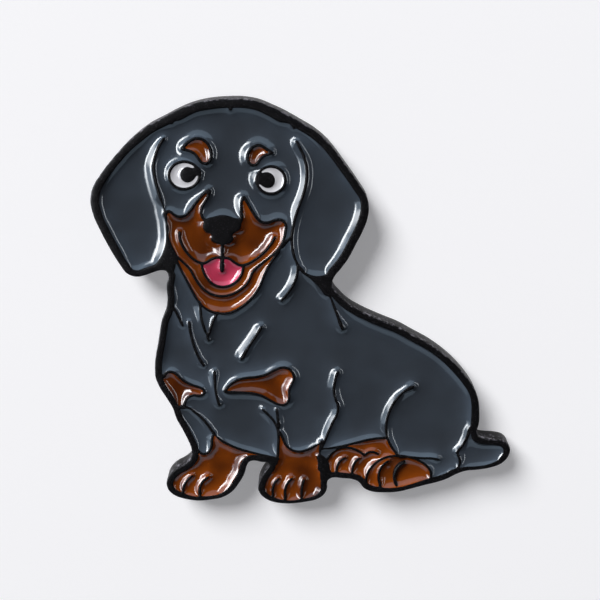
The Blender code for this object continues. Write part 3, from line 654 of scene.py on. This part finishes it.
# a pool fills the metal loops that lie nearest to its own solid's loops
for node in sorted(n for n in nodes if n.startswith("enamel_")):
    starts = [loop[0] for loop in topLoops(node)]
    bounding = sorted({owner[plateTree.find((x, z, 0))[1]] for x, z in starts})
    loops = [metalLoops[k] for k in bounding]
    places, faces, found = fillRegion(loops, -1, poolMesh["rings"], poolMesh["grid"], poolMesh["gridFrom"])
    held = np.zeros(len(places), bool)
    held[[found[i] for i in range(sum(len(loop) for loop in loops))]] = True
    slot = colourOf[node]
    fill = hollowFill if slot == "tan_enamel" else meniscus
    climb = capillary(places, faces, held, fill["spread"])
    levels = floorLevel - fill["level"] - fill["rise"] * climb
    verts = [(x, y, z) for (x, z), y in zip(places, levels)]
    name = node.replace("enamel_", "pool_")
    piece = makePiece(name, verts, faces.tolist(), "badge", [node], climb)
    piece.data.materials.append(enamelLook[slot.replace("_enamel", "")])
    print("pool", node, len(faces))


# posts and clutches

postSteel = {
    "colour": linear(190, 186, 180),
    "dark": linear(120, 116, 110),
    "grainSize": 4000.0,
    "roughness": (0.25, 0.4),
    "bump": 0.006 * mm,
    "bumpStrength": 0.3,
}
brassSheet = {
    "colour": linear(214, 178, 104),
    "dark": linear(184, 146, 78),
    "grainSize": 4000.0,
    "roughness": (0.2, 0.35),
    "bump": 0.006 * mm,
    "bumpStrength": 0.3,
}
fittings = {
    "weld": 0.001 * mm,
    "edge": 0.07 * mm,
    "edgeAngle": math.radians(28),
    "clutchParts": ("cup", "cap", "wing_left", "wing_right"),
}


def sheetMaterial(name, look):
    material, tree, shader = newMaterial(name)
    speck = addNode(tree, "ShaderNodeGroup", node_tree=speckGroup, Size=look["grainSize"])
    shade = mixColour(tree, speck.outputs["Pits"], look["colour"], look["dark"])
    tree.links.new(shade, shader.inputs["Base Color"])
    shader.inputs["Metallic"].default_value = 1.0
    speckFinish(tree, shader, speck, look)
    return material


def dress(node, material):
    item = nodes[node]
    item.data.materials.clear()
    item.data.materials.append(material)
    joined = item.modifiers.new("joined", "WELD")
    joined.merge_threshold = fittings["weld"]
    soft = item.modifiers.new("soft", "BEVEL")
    soft.width = fittings["edge"]
    soft.segments = 3
    soft.limit_method = "ANGLE"
    soft.angle_limit = fittings["edgeAngle"]
    soft.harden_normals = False
    item.data.shade_smooth()


postMaterial = sheetMaterial("postSteel", postSteel)
clutchMaterial = sheetMaterial("brassSheet", brassSheet)
for label in ("upper", "lower"):
    dress(label + "_post", postMaterial)
    for part in fittings["clutchParts"]:
        dress(label + "_clutch_" + part, clutchMaterial)
print("fittings dressed")


# camera

view = {
    "target": Vector((0.589 * mm, faceLevel, -0.681 * mm)),
    "distance": 84.3 * mm,
    "elevation": math.radians(20),
    "lens": 57.6,
    "sensor": 36,
    "clip": (0.001, 10),
}
camera = bpy.data.objects.new("camera", bpy.data.cameras.new("camera"))
scene.collection.objects.link(camera)
camera.data.lens = view["lens"]
camera.data.sensor_width = view["sensor"]
camera.data.clip_start, camera.data.clip_end = view["clip"]
back = Vector((0, -math.cos(view["elevation"]), math.sin(view["elevation"])))
camera.location = view["target"] + back * view["distance"]
camera.rotation_euler = (math.pi / 2 - view["elevation"], 0, 0)
scene.camera = camera
print("camera placed")


# stage

def stagePlane(name, centre, facing, width, height):
    mesh = bpy.data.meshes.new(name)
    w, h = width / 2, height / 2
    mesh.from_pydata([(-w, -h, 0), (w, -h, 0), (w, h, 0), (-w, h, 0)], [], [(0, 1, 2, 3)])
    layer = mesh.uv_layers.new(name="flat")
    for i, uv in enumerate(((0, 0), (1, 0), (1, 1), (0, 1))):
        layer.data[i].uv = uv
    plane = bpy.data.objects.new(name, mesh)
    scene.collection.objects.link(plane)
    plane.location = centre
    plane.rotation_mode = "QUATERNION"
    plane.rotation_quaternion = Vector(facing).to_track_quat("Z", "Y")
    plane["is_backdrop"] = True
    return plane


def outward(azimuth, elevation):
    a, e = math.radians(azimuth), math.radians(elevation)
    return Vector((math.sin(a) * math.cos(e), -math.cos(a) * math.cos(e), math.sin(e)))


def seenRays(tree):
    ray = addNode(tree, "ShaderNodeLightPath")
    mirrored = math2(tree, "MAXIMUM", ray.outputs["Is Glossy Ray"], ray.outputs["Is Transmission Ray"])
    return math2(tree, "MAXIMUM", ray.outputs["Is Camera Ray"], mirrored)


# the card shows from the front only
backdrop = {
    "behind": 1.2 * mm,
    "side": 1.2,
    "colour": (0.84, 0.84, 0.86),
    "glow": (0.235, 0.235, 0.242),
    "roughness": 0.9,
}
board = stagePlane("board", (0, backdrop["behind"], 0), (0, -1, 0), backdrop["side"], backdrop["side"])
boardMaterial, tree, shader = newMaterial("board")
shader.inputs["Base Color"].default_value = (*backdrop["colour"], 1)
shader.inputs["Roughness"].default_value = backdrop["roughness"]
shader.inputs["Specular IOR Level"].default_value = 0.0
clear = addNode(tree, "ShaderNodeBsdfTransparent")
oneSided = addNode(tree, "ShaderNodeMixShader")
tree.links.new(addNode(tree, "ShaderNodeNewGeometry").outputs["Backfacing"], oneSided.inputs[0])
ownGlow = addNode(tree, "ShaderNodeEmission", Color=(*backdrop["glow"], 1))
tree.links.new(seenRays(tree), ownGlow.inputs["Strength"])
both = addNode(tree, "ShaderNodeAddShader")
tree.links.new(shader.outputs[0], both.inputs[0])
tree.links.new(ownGlow.outputs[0], both.inputs[1])
tree.links.new(both.outputs[0], oneSided.inputs[1])
tree.links.new(clear.outputs[0], oneSided.inputs[2])
tree.links.new(oneSided.outputs[0], tree.nodes["Material Output"].inputs["Surface"])
board.data.materials.append(boardMaterial)
board.visible_shadow = False


# reflected panels, seen only in gloss

# bars are triples across the panel: middle, half width, glow; pane is the same up the panel
# ends say where the bars start to fade and where they stop, from the middle up and down
panels = {
    "panelLeft": {
        "azimuth": -59,
        "elevation": 6,
        "distance": 0.4,
        "width": 0.44,
        "height": 0.48,
        "core": (1.7, 2.1, 2.5),
        "bars": [(0.13, 0.11, (27, 28, 29)), (0.82, 0.16, (24, 25, 26))],
        "ends": (0.22, 0.46),
        "pane": (0.4, 0.15, (11, 11.5, 12)),
    },
    "panelTop": {
        "azimuth": 0,
        "elevation": 40,
        "distance": 0.5,
        "width": 0.6,
        "height": 0.4,
        "core": (0.9, 1.2, 1.5),
    },
    "panelBelow": {
        "azimuth": 0,
        "elevation": -68,
        "distance": 0.5,
        "width": 0.6,
        "height": 0.3,
        "core": (0.5, 0.65, 0.8),
    },
    "panelRight": {
        "azimuth": 60,
        "elevation": 0,
        "distance": 0.5,
        "width": 0.3,
        "height": 0.5,
        "core": (0.12, 0.13, 0.15),
        "bars": [(0.05, 0.06, (9, 9.5, 10)), (0.95, 0.06, (9, 9.5, 10))],
        "ends": (0.4, 0.5),
    },
}


def awayFrom(tree, place, middle):
    return math2(tree, "ABSOLUTE", math2(tree, "SUBTRACT", place, middle), 0)


def band(tree, place, middle, half):
    return remap(tree, awayFrom(tree, place, middle), half * 0.4, half, 1.0, 0.0)


def panel(name, look):
    aim = outward(look["azimuth"], look["elevation"])
    plane = stagePlane(name, aim * look["distance"], -aim, look["width"], look["height"])
    material, tree, shader = newMaterial(name)
    tree.nodes.remove(shader)
    light = addNode(tree, "ShaderNodeEmission", Color=(*look["core"], 1), Strength=1.0)
    split = addNode(tree, "ShaderNodeSeparateXYZ")
    tree.links.new(addNode(tree, "ShaderNodeTexCoord").outputs["UV"], split.inputs[0])
    across, up = split.outputs[0], split.outputs[1]
    shade = look["core"]
    if "pane" in look:
        middle, half, glow = look["pane"]
        shade = mixColour(tree, band(tree, up, middle, half), shade, glow)
    if "bars" in look:
        fade = remap(tree, awayFrom(tree, up, 0.5), *look["ends"], 1.0, 0.0)
        for middle, half, glow in look["bars"]:
            strong = math2(tree, "MULTIPLY", band(tree, across, middle, half), fade)
            shade = mixColour(tree, strong, shade, glow)
        tree.links.new(shade, light.inputs["Color"])
    tree.links.new(light.outputs[0], tree.nodes["Material Output"].inputs["Surface"])
    plane.data.materials.append(material)
    plane.visible_camera = False
    plane.visible_diffuse = False
    plane.visible_shadow = False


for name, look in panels.items():
    panel(name, look)


# lamps: the key lights all, the others light the pieces and not the card

lamps = {
    "keyLamp": {"azimuth": -38, "elevation": 44, "distance": 2.0, "size": 0.97, "power": 52},
    "leftLamp": {"azimuth": -65, "elevation": 15, "distance": 0.45, "size": 0.3, "power": 0.5},
    "backLamp": {"azimuth": 215, "elevation": 35, "distance": 0.5, "size": 0.3, "power": 2.6},
}
onlyPieces = ("leftLamp", "backLamp")


def areaLamp(name, look):
    lamp = bpy.data.lights.new(name, "AREA")
    lamp.shape = "DISK"
    lamp.size = look["size"]
    lamp.energy = look["power"]
    item = bpy.data.objects.new(name, lamp)
    scene.collection.objects.link(item)
    aim = outward(look["azimuth"], look["elevation"])
    item.location = aim * look["distance"]
    item.rotation_mode = "QUATERNION"
    item.rotation_quaternion = aim.to_track_quat("Z", "Y")
    item.visible_glossy = False
    return item


lit = bpy.data.collections.new("litPieces")
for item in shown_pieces():
    lit.objects.link(item)
for name, look in lamps.items():
    lamp = areaLamp(name, look)
    if name in onlyPieces:
        lamp.light_linking.receiver_collection = lit


# room: dark in front and pale behind where it is mirrored

room = {
    "ambient": (0.08, 0.08, 0.083),
    "front": (0.03, 0.03, 0.033),
    "behind": (0.9, 0.9, 0.925),
    "turn": (-0.1, 0.5),
}
world = bpy.data.worlds.new("room")
scene.world = world
world.use_nodes = True
tree = world.node_tree
ray = addNode(tree, "ShaderNodeLightPath")
split = addNode(tree, "ShaderNodeSeparateXYZ")
tree.links.new(addNode(tree, "ShaderNodeTexCoord").outputs["Generated"], split.inputs[0])
behind = remap(tree, split.outputs[1], *room["turn"], 0.0, 1.0)
mirrored = mixColour(tree, behind, room["front"], room["behind"])
ambient = mixColour(tree, ray.outputs["Is Glossy Ray"], room["ambient"], mirrored)
shown = mixColour(tree, ray.outputs["Is Camera Ray"], ambient, room["behind"])
tree.links.new(shown, tree.nodes["Background"].inputs["Color"])
scene.view_settings.view_transform = "Standard"
print("stage set")

low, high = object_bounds()
